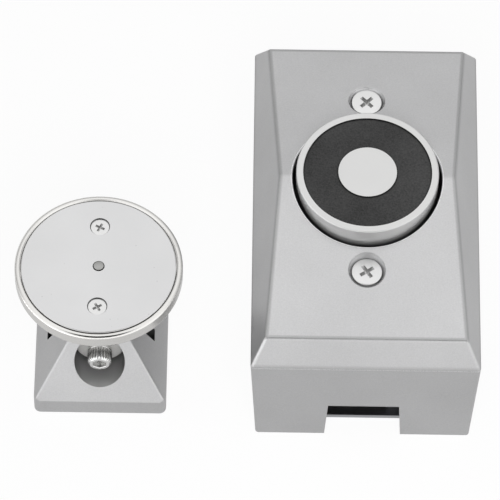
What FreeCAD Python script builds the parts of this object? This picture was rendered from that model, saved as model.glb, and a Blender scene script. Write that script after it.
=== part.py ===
"""Electromagnetic door holder set: a wall magnet in a die-cast housing and the swivel armature it holds.

The wall unit lies on its back plate with the magnet axis on Z and the mounting plane at z = 0.
The door armature stands beside it on its own mounting face, also at z = 0.
All sizes are millimetres.
"""
import FreeCAD, Part
import math
import os

V = FreeCAD.Vector

# Die-cast housing cover
housing_length = 120.6
housing_width = 73.0
housing_wall = 2.5
parting_height = 43.6
wall_draft_deg = 2.4
end_chamfer_rise = 10.3
end_chamfer_deg = 64.6
side_bevel_deg = 66.6
ridge_height = 63.0
housing_edge_round = 1.1
ridge_round = 4.0
bore_edge_round = 0.4

# Cable notch in the lower end wall
notch_height = 18.9
notch_top_width = 22.8
notch_bottom_width = 24.6

# Back plate and its wall-box slots
plate_end_gap = 3.5
plate_side_gap = 1.2
plate_thickness = 1.6
plate_corner_round = 3.0
box_slot_spacing = 83.3
box_slot_width = 4.4
box_slot_length = 8.0
wire_hole_dia = 24.0

# Electromagnet
magnet_dia = 45.6
magnet_height = 32.0
magnet_face_height = 65.8
pot_wall = 2.2
pot_floor = 5.0
core_dia = 18.7
potting_depth = 2.7
potting_recess = 0.5
bobbin_wall = 1.0
winding_margin = 1.2
bore_gap = 1.2
pole_edge_round = 0.4
lead_hole_dia = 6.0
lead_hole_offset = 15.0

# Bracket that carries the magnet, and its fasteners
bracket_thickness = 2.5
bracket_width = 24.0
bracket_span = 40.0
bracket_edge_gap = 1.0
bracket_bend = 1.5
core_bolt_dia = 6.35
core_bolt_head_af = 11.1
core_bolt_head_height = 4.0
hex_crown_deg = 32.0
core_bolt_engagement = 9.0
core_washer_dia = 12.4
core_washer_thickness = 1.6
bracket_screw_dia = 3.5
bracket_screw_head_dia = 6.6
bracket_screw_head_height = 2.2
bracket_screw_drive = 3.5
bracket_screw_turn_deg = 45

# Cover screws, their recesses and the hex posts they bite into
cover_screw_spacing = 64.8
cover_screw_shift = 0.55
cover_screw_dia = 4.83
cover_screw_head_dia = 9.8
cover_screw_head_height = 2.75
cover_screw_engagement = 12.0
cover_screw_drive = 4.8
cover_screw_turns_deg = (34, 44)
screw_recess_dia = 11.5
screw_seat_height = 54.0
screw_seat_thickness = 2.5
screw_boss_wall = 1.8
post_af = 8.0
post_spigot_dia = 6.0

# Terminal block and coil leads
block_length = 20.0
block_depth = 13.0
block_height = 11.0
block_side_gap = 3.0
block_end_gap = 3.0
block_shoulder = 3.0
terminal_pitch = 9.0
terminal_screw_dia = 3.0
terminal_screw_head_dia = 4.6
terminal_screw_head_height = 1.8
terminal_screw_length = 6.0
terminal_screw_drive = 3.0
terminal_screw_turn_deg = 20
wire_entry_dia = 3.2
wire_entry_depth = 5.0
wire_entry_height = 4.5
block_screw_dia = 2.9
block_screw_head_dia = 3.4
block_screw_well_gap = 0.13
block_screw_head_height = 1.8
lead_dia = 1.6
lead_spread = 3.2
lead_sag = 4.0
lead_straight = 9.0
lead_tail = 4.0
lead_bend_share = 0.45

# Armature base and where it lies beside the wall unit
armature_x = -85.2
armature_y = -30.6
base_width = 42.86
skirt_height = 6.6
base_slope_deg = 60.0
base_height = 31.0
base_corner_round = 2.2
base_edge_round = 0.8
pivot_height = 19.65
pivot_slot_width = 4.4
pivot_slot_reach = 17.4
pivot_slot_floor = 3.0
door_bolt_spacing = 28.0
door_bolt_hole_dia = 3.5
door_bolt_hole_depth = 9.0

# Swivel barrel, its clamp screw and the neck
barrel_dia = 16.0
barrel_length = 17.6
barrel_chamfer = 0.9
barrel_clearance = 0.15
clamp_screw_dia = 4.83
clamp_screw_head_dia = 7.92
clamp_screw_head_height = 4.83
clamp_screw_socket_af = 3.97
clamp_screw_socket_depth = 2.6
clamp_screw_edge_round = 0.4
clamp_washer_dia = 7.8
clamp_washer_thickness = 1.2
clamp_running_gap = 0.1
neck_dia = 4.0
neck_engagement = 4.4
neck_hub_engagement = 5.0
jam_nut_af = 8.0
jam_nut_thickness = 3.0

# Armature disc
disc_dia = 53.5
disc_face_height = 55.6
cup_height = 5.4
cup_floor = 2.0
rim_width = 1.8
rim_crown = 0.7
rim_inner_lip = 0.4
hub_dia = 14.0
hub_depth = 9.5
hub_taper = 2.0
plate_gap = 0.2
plate_edge_round = 0.4
plate_screw_spacing = 29.8
plate_screw_head_dia = 6.0
plate_screw_dia = 3.0
plate_screw_angle_deg = 100.0
plate_screw_length = 6.2
plate_screw_recess = 0.5
plate_screw_gap = 0.2
plate_screw_drive = 3.4
plate_screw_drive_depth = 1.2
plate_screw_turns_deg = (30, 64)

# Sprung release pin in the middle of the disc
pin_dia = 3.2
pin_hole_dia = 3.8
pin_proud = 0.5
pin_dome = 0.25
pin_flange_dia = 4.6
pin_flange_thickness = 0.8
pin_pocket_dia = 5.2
pin_pocket_depth = 5.4
spring_wire = 0.45
spring_turns = 4
spring_arcs_per_turn = 4

# Clearances between neighbouring pieces, shares of a screw head, and how far a cut runs past its face
thread_gap = 0.05
tap_run_out = 1.0
sleeve_gap = 0.02
shank_gap = 0.25
drive_taper = 0.45
drive_depth_share = 0.7
pan_side_share = 0.8
tiny = 1e-6
over = 1.0


def box(x0, x1, y0, y1, z0, z1):
    """Rectangular block between two corners."""
    return Part.makeBox(x1 - x0, y1 - y0, z1 - z0, V(x0, y0, z0))


def rod(dia, z0, z1, x=0.0, y=0.0):
    """Upright round bar."""
    return Part.makeCylinder(dia / 2, z1 - z0, V(x, y, z0))


def rod_y(dia, y0, y1, x, z):
    """Round bar along Y."""
    return Part.makeCylinder(dia / 2, y1 - y0, V(x, y0, z), V(0, 1, 0))


def ring(outer, inner, z0, z1, x=0.0, y=0.0):
    """Upright tube with flat ends."""
    return rod(outer, z0, z1, x, y).cut(rod(inner, z0, z1, x, y))


def hex_bar(across_flats, z0, z1, x=0.0, y=0.0):
    """Upright hexagon bar, flats facing X."""
    corner = across_flats / math.sqrt(3)
    angles = [math.radians(30 + 60 * k) for k in range(7)]
    points = [V(x + corner * math.cos(a), y + corner * math.sin(a), z0) for a in angles]
    return Part.Face(Part.makePolygon(points)).extrude(V(0, 0, z1 - z0))


def crowned_hex(across_flats, z0, z1, crowned_top, x=0.0, y=0.0):
    """Upright hexagon bar with its corners turned off at the bottom, and at the top where asked."""
    flat = across_flats / 2
    corner = across_flats / math.sqrt(3)
    rise = (corner - flat) * math.tan(math.radians(hex_crown_deg))
    top = [(corner, z1 - rise), (flat, z1)] if crowned_top else [(corner, z1)]
    blank = turned([(0, z0), (flat, z0), (corner, z0 + rise)] + top + [(0, z1)], x, y)
    return hex_bar(across_flats, z0, z1, x, y).common(blank)


def prism_x(outline, half_width):
    """Closed (y, z) outline carried along X, centred."""
    points = [V(-half_width, y, z) for y, z in outline + outline[:1]]
    return Part.Face(Part.makePolygon(points)).extrude(V(2 * half_width, 0, 0))


def prism_y(outline, y0, y1):
    """Closed (x, z) outline carried along Y."""
    points = [V(x, y0, z) for x, z in outline + outline[:1]]
    return Part.Face(Part.makePolygon(points)).extrude(V(0, y1 - y0, 0))


def turned(outline, x=0.0, y=0.0):
    """Closed (radius, z) outline turned round an upright axis; a triple (radius, z, bulge) is an arc."""
    edges = []
    for here, there in zip(outline, outline[1:] + outline[:1]):
        start = V(x + here[0], y, here[1])
        end = V(x + there[0], y, there[1])
        if len(there) == 3:
            middle = V(x + there[2][0], y, there[2][1])
            edges.append(Part.Arc(start, middle, end).toShape())
        else:
            edges.append(Part.LineSegment(start, end).toShape())
    return Part.Face(Part.Wire(edges)).revolve(V(x, y, 0), V(0, 0, 1), 360)


def slot_bar(width, length, z0, z1, x, y):
    """Upright bar with a round-ended section, long in Y."""
    reach = (length - width) / 2
    bar = box(x - width / 2, x + width / 2, y - reach, y + reach, z0, z1)
    for side in (-1, 1):
        bar = bar.fuse(rod(width, z0, z1, x, y + side * reach))
    return bar.removeSplitter()


def rounded_plate(width, length, radius, z0, z1):
    """Flat plate with rounded corners, centred on the Z axis."""
    plate = box(-width / 2, width / 2, -length / 2, length / 2, z0, z1)
    return plate.makeFillet(radius, upright_edges(plate))


def upright_edges(shape):
    """Straight edges that run parallel to Z."""
    return [e for e in shape.Edges if e.BoundBox.XLength < tiny and e.BoundBox.YLength < tiny]


def edges_along(shape, direction):
    """Straight edges that run parallel to a direction."""
    straight = [e for e in shape.Edges if e.Curve.TypeId == "Part::GeomLine"]
    return [e for e in straight if e.tangentAt(e.FirstParameter).cross(direction).Length < tiny]


def cross_drive(width, depth, top, x, y, turn_deg):
    """Cross recess for a screwdriver: two tapered blades at right angles, cut down from the head."""
    half = width / 2
    blade = width * drive_taper / 2
    outline = [(-half, top), (half, top), (half - blade, top - depth), (blade - half, top - depth)]
    thickness = width / 5
    recess = prism_y(outline, -thickness / 2, thickness / 2)
    recess = recess.fuse(recess.rotated(V(0, 0, 0), V(0, 0, 1), 90))
    return recess.rotated(V(0, 0, 0), V(0, 0, 1), turn_deg).translated(V(x, y, 0))


def round_middle(radius):
    """How far the middle of a quarter round lies inside the corner that it rounds."""
    return radius * (1 - math.sqrt(0.5))


def dome_middle(radius, low, high):
    """Middle point of the spherical dome that rises from a rim of this radius to its top on the axis."""
    height = high - low
    ball = (radius ** 2 + height ** 2) / (2 * height)
    half_angle = math.atan2(radius, ball - height) / 2
    return (ball * math.sin(half_angle), high - ball + ball * math.cos(half_angle))


def pan_screw(dia, head_dia, head_height, length, seat, x, y, drive, turn_deg):
    """Pan-head machine screw pointing down, its domed head resting on the seat height."""
    r = head_dia / 2
    shoulder = seat + head_height * pan_side_share
    top = seat + head_height
    head = turned([(0, seat), (r, seat), (r, shoulder), (0, top, dome_middle(r, shoulder, top))], x, y)
    screw = head.fuse(rod(dia, seat - length, seat, x, y))
    return screw.cut(cross_drive(drive, head_height * drive_depth_share, top, x, y, turn_deg))


def save(name, shape):
    """Write one piece, or a group of like pieces, to its own file."""
    for solid in shape.Solids:
        if not solid.isValid():
            raise ValueError(name + " is not a valid solid")
    shape.exportStep("parts/" + name + ".step")
    print(name, len(shape.Solids), round(sum(s.Volume for s in shape.Solids), 1))


# Heights and places that several pieces share
draft = math.tan(math.radians(wall_draft_deg))
wall_at_plate = parting_height * draft + housing_wall
plate_width = housing_width - 2 * (wall_at_plate + plate_side_gap)
plate_length = housing_length - 2 * (wall_at_plate + plate_end_gap)
chamfer_run = 1 / math.tan(math.radians(end_chamfer_deg))
bevel_run = 1 / math.tan(math.radians(side_bevel_deg))
eave_height = parting_height + end_chamfer_rise
magnet_back = magnet_face_height - magnet_height
pot_inside_floor = magnet_back + pot_floor
pot_inside_dia = magnet_dia - 2 * pot_wall
potting_top = magnet_face_height - potting_recess
potting_bottom = potting_top - potting_depth
bracket_top = magnet_back
bracket_under = bracket_top - bracket_thickness
post_top = screw_seat_height - screw_seat_thickness
cover_screw_y = (cover_screw_shift - cover_screw_spacing / 2, cover_screw_shift + cover_screw_spacing / 2)
bracket_reach = plate_width / 2 - bracket_edge_gap
bracket_screw_x = (bracket_span / 2 + bracket_reach) / 2
block_x = plate_width / 2 - block_side_gap - block_length / 2
block_y = block_end_gap + (block_depth - plate_length) / 2


def housing_form(inset, bottom):
    """Faceted body of the housing: drafted walls, bevelled sides, chamfered ends and a low ridged roof."""
    half_length = housing_length / 2 - inset
    half_width = housing_width / 2 - inset
    low = (parting_height - bottom) * draft
    eave = eave_height - inset
    end_run = (eave - parting_height) * chamfer_run
    peak = ridge_height - inset
    rise = peak + over - parting_height
    side = [(half_length - low, bottom), (half_length, parting_height), (half_length - end_run, eave)]
    side = side + [(0, peak)] + [(-y, z) for y, z in reversed(side)]
    section = [(half_width - low, bottom), (half_width, parting_height)]
    section = section + [(half_width - rise * bevel_run, peak + over)]
    section = section + [(-x, z) for x, z in reversed(section)]
    return prism_x(side, half_width + over).common(prism_y(section, -half_length - over, half_length + over))


def is_soft(edge):
    """True for the edges a casting rounds: all but the bottom rim, the parting line and the ridge's seams."""
    extent = edge.BoundBox
    on_rim = extent.ZMax < tiny
    on_parting_line = abs(extent.ZMin - parting_height) + abs(extent.ZMax - parting_height) < tiny
    on_ridge = extent.ZMin > eave_height + tiny and extent.YLength < tiny
    return not (on_rim or on_parting_line or on_ridge)


def mouth_edges(body, dia, x, y):
    """Edges where an upright hole of this diameter opens through the roof."""
    found = []
    for face in body.Faces:
        wall = face.Surface
        if wall.TypeId != "Part::GeomCylinder" or abs(wall.Radius - dia / 2) > tiny:
            continue
        if abs(wall.Center.x - x) + abs(wall.Center.y - y) < tiny and abs(wall.Axis.z) > 1 - tiny:
            low = face.BoundBox.ZMin + housing_wall / 4
            found = found + [e for e in face.Edges if e.BoundBox.ZMin > low]
    return found


def housing_cover():
    """Zinc casting: a hollow faceted shell with the magnet bore, screw recesses, bosses and cable notch."""
    body = housing_form(0, 0)
    body = body.makeFillet(ridge_round, [e for e in body.Edges if e.BoundBox.ZMin > ridge_height - tiny])
    body = body.makeFillet(housing_edge_round, [e for e in body.Edges if is_soft(e)])
    cavity = housing_form(housing_wall, -over)
    for y in cover_screw_y:
        cavity = cavity.cut(rod(screw_recess_dia + 2 * screw_boss_wall, post_top, ridge_height, 0, y))
    body = body.cut(cavity)
    body = body.cut(rod(magnet_dia + 2 * bore_gap, parting_height, ridge_height + over))
    for y in cover_screw_y:
        body = body.cut(rod(screw_recess_dia, screw_seat_height, ridge_height, 0, y))
        body = body.cut(rod(cover_screw_dia + 2 * shank_gap, post_top - over, screw_seat_height + over, 0, y))
    rims = mouth_edges(body, magnet_dia + 2 * bore_gap, 0, 0)
    for y in cover_screw_y:
        rims = rims + mouth_edges(body, screw_recess_dia, 0, y)
    body = body.makeFillet(bore_edge_round, rims)
    top = notch_top_width / 2
    low = notch_bottom_width / 2
    notch = [(-low, 0), (-top, notch_height), (top, notch_height), (low, 0)]
    return body.cut(prism_y(notch, -housing_length / 2, -housing_length / 2 + 3 * housing_wall))


def back_plate():
    """Zinc-plated steel plate: wall-box slots, wire hole, staked post holes and tapped bracket holes."""
    plate = rounded_plate(plate_width, plate_length, plate_corner_round, 0, plate_thickness)
    plate = plate.cut(rod(wire_hole_dia, -over, plate_thickness + over))
    for y in (-box_slot_spacing / 2, box_slot_spacing / 2):
        plate = plate.cut(slot_bar(box_slot_width, box_slot_length, -over, plate_thickness + over, 0, y))
    for y in cover_screw_y:
        plate = plate.cut(rod(post_spigot_dia + 2 * thread_gap, -over, plate_thickness + over, 0, y))
    for x in (-bracket_screw_x, bracket_screw_x):
        plate = plate.cut(rod(bracket_screw_dia + 2 * thread_gap, -over, plate_thickness + over, x, 0))
    return plate.cut(rod(block_screw_dia + 2 * thread_gap, -over, plate_thickness + over, block_x, block_y))


def cover_posts():
    """Two hexagon posts staked into the back plate, tapped at the top for the cover screws."""
    posts = []
    for y in cover_screw_y:
        post = hex_bar(post_af, plate_thickness, post_top, 0, y)
        post = post.fuse(rod(post_spigot_dia, 0, plate_thickness, 0, y))
        bottom = screw_seat_height - cover_screw_engagement - tap_run_out
        posts.append(post.cut(rod(cover_screw_dia + 2 * thread_gap, bottom, post_top, 0, y)))
    return Part.makeCompound(posts)


def cover_screws():
    """Two pan-head screws that hold the cover to the posts."""
    screws = []
    for y, turn in zip(cover_screw_y, cover_screw_turns_deg):
        screws.append(pan_screw(cover_screw_dia, cover_screw_head_dia, cover_screw_head_height,
                                cover_screw_engagement, screw_seat_height, 0, y, cover_screw_drive, turn))
    return Part.makeCompound(screws)


def magnet_bracket():
    """Hat bracket folded from strip: a bridge under the magnet, two legs and two screwed feet."""
    half = bracket_span / 2
    inner = half - bracket_thickness
    foot = bracket_reach
    foot_top = plate_thickness + bracket_thickness
    outline = [(-foot, plate_thickness), (-inner, plate_thickness), (-inner, bracket_under)]
    outline = outline + [(inner, bracket_under), (inner, plate_thickness), (foot, plate_thickness)]
    outline = outline + [(foot, foot_top), (half, foot_top), (half, bracket_top)]
    outline = outline + [(-half, bracket_top), (-half, foot_top), (-foot, foot_top)]
    strip = prism_y(outline, -bracket_width / 2, bracket_width / 2)
    folds = edges_along(strip, V(0, 1, 0))
    inside = [(inner, bracket_under), (half, foot_top)]
    outside = [(half, bracket_top), (inner, plate_thickness)]

    def at(edge, corners):
        point = edge.Vertexes[0].Point
        return any(abs(abs(point.x) - x) < tiny and abs(point.z - z) < tiny for x, z in corners)

    strip = strip.makeFillet(bracket_bend, [e for e in folds if at(e, inside)])
    folds = edges_along(strip, V(0, 1, 0))
    strip = strip.makeFillet(bracket_bend + bracket_thickness, [e for e in folds if at(e, outside)])
    strip = strip.cut(rod(core_bolt_dia + 2 * shank_gap, bracket_under - over, bracket_top + over))
    for x in (-bracket_screw_x, bracket_screw_x):
        hole = rod(bracket_screw_dia + 2 * shank_gap, plate_thickness - over, foot_top + over, x, 0)
        strip = strip.cut(hole)
    return strip


def bracket_screws():
    """Screws through the bracket's feet into the tapped back plate."""
    seat = plate_thickness + bracket_thickness
    screws = []
    for x in (-bracket_screw_x, bracket_screw_x):
        screws.append(pan_screw(bracket_screw_dia, bracket_screw_head_dia, bracket_screw_head_height,
                                seat, seat, x, 0, bracket_screw_drive, bracket_screw_turn_deg))
    return Part.makeCompound(screws)


def magnet_pot():
    """Steel pot of the electromagnet: outer pole ring and floor in one turned piece."""
    outer = magnet_dia / 2
    inner = pot_inside_dia / 2
    top = magnet_face_height
    edge = pole_edge_round
    bulge = (outer - round_middle(edge), top - round_middle(edge))
    outline = [(core_bolt_dia / 2 + shank_gap, magnet_back), (outer, magnet_back), (outer, top - edge),
               (outer - edge, top, bulge), (inner, top), (inner, pot_inside_floor),
               (core_bolt_dia / 2 + shank_gap, pot_inside_floor)]
    pot = turned(outline)
    return pot.cut(rod(lead_hole_dia, magnet_back - over, pot_inside_floor + over, 0, -lead_hole_offset))


def magnet_core():
    """Solid steel core, tapped from behind for the bolt that holds the magnet to its bracket."""
    depth = core_bolt_engagement + tap_run_out
    core = rod(core_dia, pot_inside_floor, magnet_face_height)
    return core.cut(rod(core_bolt_dia + 2 * thread_gap, pot_inside_floor, pot_inside_floor + depth))


def coil_bobbin():
    """Moulded spool that slips over the core."""
    hole = core_dia + 2 * sleeve_gap
    flange = pot_inside_dia - 2 * sleeve_gap
    hub = hole + 2 * bobbin_wall
    spool = ring(hub, hole, pot_inside_floor, potting_bottom)
    spool = spool.fuse(ring(flange, hole, pot_inside_floor, pot_inside_floor + bobbin_wall))
    return spool.fuse(ring(flange, hole, potting_bottom - bobbin_wall, potting_bottom)).removeSplitter()


def coil_winding():
    """Copper winding that fills the bobbin between its flanges."""
    inner = core_dia + 2 * bobbin_wall + 4 * sleeve_gap
    outer = pot_inside_dia - 2 * winding_margin
    return ring(outer, inner, pot_inside_floor + bobbin_wall, potting_bottom - bobbin_wall)


def potting_ring():
    """Black resin that seals the coil between the core and the pot, just below the pole faces."""
    return ring(pot_inside_dia - 2 * sleeve_gap, core_dia + 2 * sleeve_gap, potting_bottom, potting_top)


def core_bolt():
    """Hexagon bolt from under the bracket into the core."""
    seat = bracket_under - core_washer_thickness
    head = crowned_hex(core_bolt_head_af, seat - core_bolt_head_height, seat, False)
    return head.fuse(rod(core_bolt_dia, seat, pot_inside_floor + core_bolt_engagement))


def core_lock_washer():
    """Split spring washer under the core bolt's head."""
    seat = bracket_under - core_washer_thickness
    washer = ring(core_washer_dia, core_bolt_dia + 2 * shank_gap, seat, bracket_under)
    gap = core_washer_thickness / 2
    return washer.cut(box(0, core_washer_dia, -gap / 2, gap / 2, seat - over, bracket_under + over))


def terminal_places():
    """X places of the two terminals."""
    return (block_x - terminal_pitch / 2, block_x + terminal_pitch / 2)


def terminal_block():
    """Moulded two-way terminal block: stepped body, wire entries on the magnet side, screw wells on top."""
    top = plate_thickness + block_height
    front = block_y - block_depth / 2
    back = block_y + block_depth / 2
    step = top - block_shoulder
    outline = [(front, plate_thickness), (back, plate_thickness), (back, step),
               (back - block_shoulder, top), (front + block_shoulder, top), (front, step)]
    block = prism_x(outline, block_length / 2).translated(V(block_x, 0, 0))
    entry = plate_thickness + wire_entry_height
    for x in terminal_places():
        block = block.cut(rod_y(wire_entry_dia, back - wire_entry_depth, back + over, x, entry))
        block = block.cut(rod(terminal_screw_head_dia + 2 * shank_gap, top - terminal_screw_head_height,
                              top + over, x, block_y))
        block = block.cut(rod(terminal_screw_dia + 2 * thread_gap, top - terminal_screw_head_height
                              - terminal_screw_length, top, x, block_y))
    seat = top - block_screw_head_height
    well = rod(block_screw_head_dia + 2 * block_screw_well_gap, seat, top + over, block_x, block_y)
    hole = rod(block_screw_dia + 2 * thread_gap, plate_thickness - over, top + over, block_x, block_y)
    return block.cut(well).cut(hole)


def terminal_screws():
    """Clamping screws of the two terminals."""
    seat = plate_thickness + block_height - terminal_screw_head_height
    screws = []
    for x in terminal_places():
        screws.append(pan_screw(terminal_screw_dia, terminal_screw_head_dia, terminal_screw_head_height,
                                terminal_screw_length, seat, x, block_y, terminal_screw_drive,
                                terminal_screw_turn_deg))
    return Part.makeCompound(screws)


def block_screw():
    """Long screw that holds the terminal block to the back plate."""
    seat = plate_thickness + block_height - block_screw_head_height
    head = rod(block_screw_head_dia, seat, seat + block_screw_head_height, block_x, block_y)
    return head.fuse(rod(block_screw_dia, 0, seat, block_x, block_y))


def coil_lead(side):
    """Insulated wire from the bobbin, down past the bracket and into its terminal: straight runs and arcs."""
    entry = plate_thickness + wire_entry_height
    back = block_y + block_depth / 2
    x0 = side * lead_spread / 2
    x1 = block_x + side * terminal_pitch / 2
    y0 = -lead_hole_offset
    drop = (bracket_under + entry) / 2
    points = [V(x0, y0, pot_inside_floor), V(x0, y0, drop),
              V((x0 + x1) / 2, y0 - lead_sag, entry + lead_sag),
              V(x1, back + lead_straight, entry), V(x1, back - lead_tail, entry)]
    return tube(points, lead_dia)


def tube(points, dia):
    """Round wire along a route of points, each corner turned on the largest arc its runs allow."""
    edges = []
    here = points[0]
    for before, corner, after in zip(points, points[1:], points[2:]):
        inward = (before - corner).normalize()
        outward = (after - corner).normalize()
        reach = lead_bend_share * min((before - corner).Length, (after - corner).Length)
        first = corner + inward * reach
        last = corner + outward * reach
        half_turn = inward.getAngle(outward) / 2
        radius = reach * math.tan(half_turn)
        bisector = (inward + outward).normalize()
        middle = corner + bisector * (radius / math.sin(half_turn) - radius)
        edges.append(Part.LineSegment(here, first).toShape())
        edges.append(Part.Arc(first, middle, last).toShape())
        here = last
    edges.append(Part.LineSegment(here, points[-1]).toShape())
    path = Part.Wire(edges)
    start = (points[1] - points[0]).normalize()
    section = Part.Wire(Part.Circle(points[0], start, dia / 2).toShape())
    return path.makePipeShell([section], True, False)


# Shared places of the armature
base_half = base_width / 2
slope_run = 1 / math.tan(math.radians(base_slope_deg))
bore_dia = barrel_dia + 2 * barrel_clearance
barrel_front = armature_y - barrel_length / 2
barrel_back = armature_y + barrel_length / 2
washer_front = barrel_front - clamp_running_gap - clamp_washer_thickness
disc_back = disc_face_height - cup_height
pocket_floor = disc_back + cup_floor
pocket_dia = disc_dia - 2 * rim_width
hub_bottom = disc_back - hub_depth
neck_bottom = pivot_height + barrel_dia / 2 - neck_engagement
neck_top = hub_bottom + neck_hub_engagement
pin_pocket_floor = pocket_floor - pin_pocket_depth
plate_screw_top = disc_face_height - plate_screw_recess
plate_screw_y = (armature_y - plate_screw_spacing / 2, armature_y + plate_screw_spacing / 2)


def armature_base():
    """Cast base: square skirt, pyramid sides, barrel bore from the front and the slot the neck swings in."""
    top_half = base_half - (base_height - skirt_height) * slope_run
    outline = [(-base_half, 0), (base_half, 0), (base_half, skirt_height), (top_half, base_height),
               (-top_half, base_height), (-base_half, skirt_height)]
    body = prism_y(outline, -base_half, base_half).common(prism_x(outline, base_half))
    body = body.makeFillet(base_corner_round, upright_edges(body))
    soft = [e for e in body.Edges if e.BoundBox.ZMin > skirt_height - tiny]
    body = body.makeFillet(base_edge_round, soft)
    body = body.translated(V(armature_x, armature_y, 0))
    body = body.cut(rod_y(bore_dia, armature_y - base_half - over, barrel_back, armature_x, pivot_height))
    half_slot = pivot_slot_width / 2
    body = body.cut(box(armature_x - pivot_slot_reach, armature_x + pivot_slot_reach, armature_y - half_slot,
                        armature_y + half_slot, pivot_slot_floor, base_height + over))
    body = body.cut(rod_y(clamp_screw_dia + 2 * thread_gap, barrel_back - over, armature_y + base_half,
                          armature_x, pivot_height))
    for side in (-1, 1):
        y = armature_y + side * door_bolt_spacing / 2
        body = body.cut(rod(door_bolt_hole_dia, -over, door_bolt_hole_depth, armature_x, y))
    return body


def swivel_barrel():
    """Chromed barrel that turns in the base: chamfered ends, clamp-screw bore and a tapped neck seat."""
    barrel = rod_y(barrel_dia, barrel_front, barrel_back, armature_x, pivot_height)
    rims = [e for e in barrel.Edges if e.Curve.TypeId == "Part::GeomCircle"]
    barrel = barrel.makeChamfer(barrel_chamfer, rims)
    barrel = barrel.cut(rod_y(clamp_screw_dia + 2 * shank_gap, barrel_front - over, barrel_back + over,
                              armature_x, pivot_height))
    top = pivot_height + barrel_dia / 2 + over
    return barrel.cut(rod(neck_dia + 2 * thread_gap, neck_bottom, top, armature_x, armature_y))


def clamp_screw():
    """Socket cap screw whose head presses the barrel against the back of its bore."""
    head_front = washer_front - clamp_screw_head_height
    head = rod_y(clamp_screw_head_dia, head_front, washer_front, armature_x, pivot_height)
    front = [e for e in head.Edges if e.BoundBox.YMax < head_front + tiny]
    head = head.makeFillet(clamp_screw_edge_round, front)
    far_face = armature_y + base_half - (pivot_height - skirt_height) * slope_run
    thread_end = far_face - clamp_screw_dia / 2
    screw = head.fuse(rod_y(clamp_screw_dia, washer_front, thread_end, armature_x, pivot_height))
    socket = hex_bar(clamp_screw_socket_af, 0, clamp_screw_socket_depth)
    socket = socket.rotated(V(0, 0, 0), V(1, 0, 0), -90).translated(V(armature_x, head_front, pivot_height))
    return screw.cut(socket)


def clamp_lock_washer():
    """Split spring washer between the cap screw's head and the barrel."""
    back = washer_front + clamp_washer_thickness
    hole = rod_y(clamp_screw_dia + 2 * thread_gap, washer_front, back, armature_x, pivot_height)
    washer = rod_y(clamp_washer_dia, washer_front, back, armature_x, pivot_height).cut(hole)
    half_gap = clamp_washer_thickness / 4
    return washer.cut(box(armature_x - half_gap, armature_x + half_gap, washer_front - over, back + over,
                          pivot_height - clamp_washer_dia, pivot_height))


def neck_stud():
    """Stud screwed into the barrel at its foot and into the disc's hub at its head."""
    return rod(neck_dia, neck_bottom + thread_gap, neck_top, armature_x, armature_y)


def neck_jam_nut():
    """Thin nut that locks the stud against the hub."""
    nut = crowned_hex(jam_nut_af, hub_bottom - jam_nut_thickness, hub_bottom, True, armature_x, armature_y)
    return nut.cut(rod(neck_dia + 2 * thread_gap, hub_bottom - jam_nut_thickness, hub_bottom,
                       armature_x, armature_y))


def armature_cup():
    """Chromed cup: crowned rim, floor and a tapered hub, bored for the stud and the pin's spring."""
    outer = disc_dia / 2
    inner = pocket_dia / 2
    hub = hub_dia / 2
    top = disc_face_height
    crown_mid = (outer - round_middle(rim_width - rim_inner_lip), top - round_middle(rim_crown))
    under_mid = (outer - round_middle(rim_crown), disc_back + round_middle(rim_crown))
    outline = [(0, hub_bottom), (hub - hub_taper, hub_bottom), (hub, disc_back),
               (outer - rim_crown, disc_back), (outer, disc_back + rim_crown, under_mid),
               (outer, top - rim_crown), (inner + rim_inner_lip, top, crown_mid), (inner, top - rim_inner_lip),
               (inner, pocket_floor), (0, pocket_floor)]
    cup = turned(outline, armature_x, armature_y)
    cup = cup.cut(rod(neck_dia + 2 * thread_gap, hub_bottom - over, neck_top, armature_x, armature_y))
    cup = cup.cut(rod(pin_pocket_dia, pin_pocket_floor, pocket_floor + over, armature_x, armature_y))
    for y in plate_screw_y:
        hole = rod(plate_screw_dia + 2 * thread_gap, disc_back - over, pocket_floor + over, armature_x, y)
        cup = cup.cut(hole)
    return cup


def countersink(head_dia, shank_dia, top, y):
    """Cone of a countersunk head with its flat top at the given height."""
    depth = (head_dia - shank_dia) / 2 / math.tan(math.radians(plate_screw_angle_deg / 2))
    return Part.makeCone(shank_dia / 2, head_dia / 2, depth, V(armature_x, y, top - depth))


def armature_plate():
    """Satin steel strike plate, countersunk for its screws and bored for the release pin."""
    r = pocket_dia / 2 - plate_gap
    edge = plate_edge_round
    bulge = (r - round_middle(edge), disc_face_height - round_middle(edge))
    plate = turned([(0, pocket_floor), (r, pocket_floor), (r, disc_face_height - edge),
                    (r - edge, disc_face_height, bulge), (0, disc_face_height)], armature_x, armature_y)
    plate = plate.cut(rod(pin_hole_dia, pocket_floor - over, disc_face_height + over, armature_x, armature_y))
    hole = plate_screw_dia + 2 * shank_gap
    mouth = plate_screw_head_dia + 2 * plate_screw_gap
    for y in plate_screw_y:
        plate = plate.cut(countersink(mouth, hole, plate_screw_top, y))
        plate = plate.cut(rod(mouth, plate_screw_top, disc_face_height + over, armature_x, y))
        plate = plate.cut(rod(hole, pocket_floor - over, disc_face_height, armature_x, y))
    return plate


def plate_screws():
    """Two countersunk screws that hold the strike plate in its cup."""
    screws = []
    for y, turn in zip(plate_screw_y, plate_screw_turns_deg):
        head = countersink(plate_screw_head_dia, plate_screw_dia, plate_screw_top, y)
        shank = rod(plate_screw_dia, plate_screw_top - plate_screw_length, plate_screw_top, armature_x, y)
        drive = cross_drive(plate_screw_drive, plate_screw_drive_depth, plate_screw_top, armature_x, y, turn)
        screws.append(head.fuse(shank).removeSplitter().cut(drive))
    return Part.makeCompound(screws)


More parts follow.
